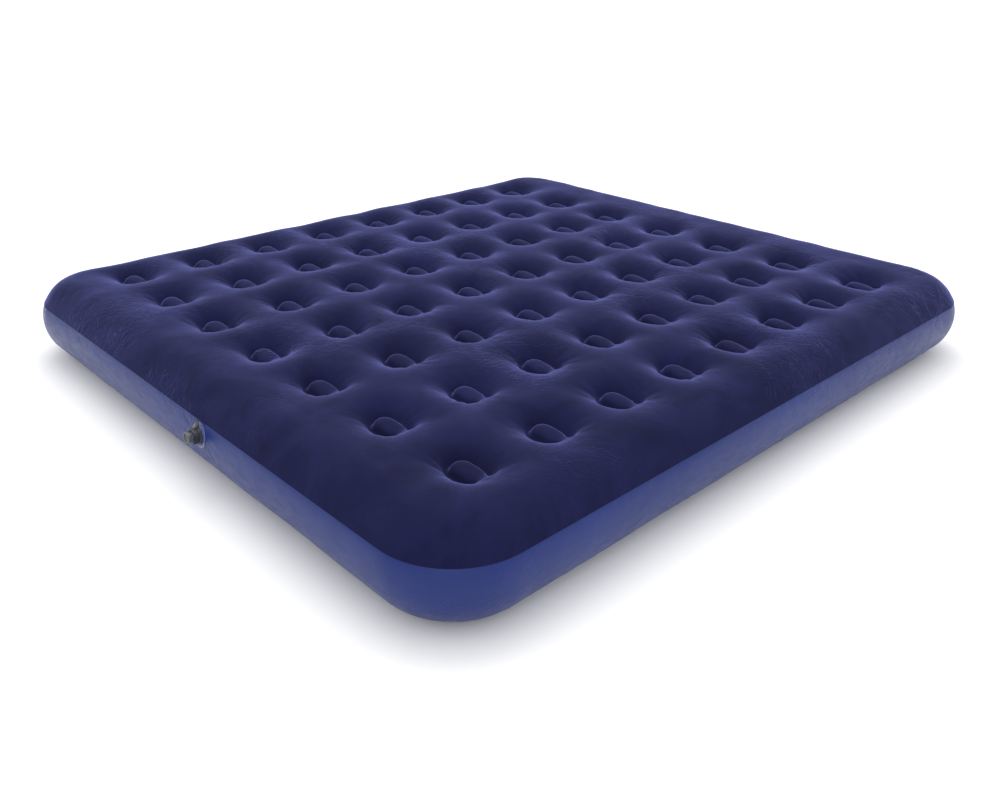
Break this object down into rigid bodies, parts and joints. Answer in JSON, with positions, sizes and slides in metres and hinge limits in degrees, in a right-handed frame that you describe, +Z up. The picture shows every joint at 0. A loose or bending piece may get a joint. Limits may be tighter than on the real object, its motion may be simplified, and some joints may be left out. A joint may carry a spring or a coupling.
{
  "type": "air mattress",
  "caption": "Rectangular king-size air bed with a dimpled flocked top, a smooth vinyl side band, inner horseshoe coils and a tethered screw valve in one short side.",
  "frame": {"origin": "on the floor under the middle of the inflated bed, valve left out", "axes": "+X along the bed's length away from the valve side, +Y across its width, +Z up"},
  "size_m": [2.0582, 1.8298, 0.22],
  "materials": {
    "flocked_pvc": "velvety flock, matt",
    "band_vinyl": "semi-matt vinyl",
    "bottom_vinyl": "semi-matt vinyl",
    "coil_vinyl": "semi-matt translucent vinyl",
    "milky_pvc": "blue-tinted translucent, glossy",
    "cap_plastic": "dark grey, satin",
    "black_plastic": "satin black",
    "soft_rubber": "matt black",
    "pin_steel": "drawn wire"
  },
  "bodies": {
    "mattress": {"top_sheet": "flocked_pvc", "side_band": "band_vinyl", "bottom_sheet": "bottom_vinyl", "coil_row_1": "coil_vinyl", "coil_row_2": "coil_vinyl", "coil_row_3": "coil_vinyl", "coil_row_4": "coil_vinyl", "coil_row_5": "coil_vinyl", "coil_row_6": "coil_vinyl", "coil_row_7": "coil_vinyl", "coil_row_8": "coil_vinyl", "valve_flange": "milky_pvc", "tether_neck_ring": "black_plastic", "tether_strap": "black_plastic"},
    "tether_ring": {"tether_body_ring": "black_plastic"},
    "valve": {"valve_body": "black_plastic", "body_gasket": "soft_rubber", "flap_seat": "milky_pvc", "flap_pin": "pin_steel", "cap_strap": "milky_pvc"},
    "flap": {"check_flap": "soft_rubber"},
    "cap": {"inflation_cap": "cap_plastic", "cap_seal": "soft_rubber"}
  },
  "joints": [
    {"name": "valve_lift", "type": "slide", "parent": "mattress", "child": "tether_ring", "axis": [-0.9877, 0, 0.1564], "range_m": [0, 0.016], "deforming": ["tether_strap"]},
    {"name": "valve_unscrew", "type": "hinge", "parent": "tether_ring", "child": "valve", "pos_m": [-1.01365, -0.125, 0.12721], "axis": [-0.9877, 0, 0.1564], "range_deg": [0, 720]},
    {"name": "cap_flip", "type": "hinge", "parent": "valve", "child": "cap", "pos_m": [-1.03153, -0.125, 0.14978], "axis": [0, 1, 0], "range_deg": [0, 165]},
    {"name": "flap_open", "type": "hinge", "parent": "valve", "child": "flap", "pos_m": [-0.99467, -0.125, 0.13453], "axis": [0, -1, 0], "range_deg": [0, 70], "stiffness_Nm_per_rad": 0.002, "springref_deg": -11.46}
  ],
  "couplings": [
    {"joint": "valve_lift", "follows": "valve_unscrew", "m_per_rad": 0.0012732}
  ]
}
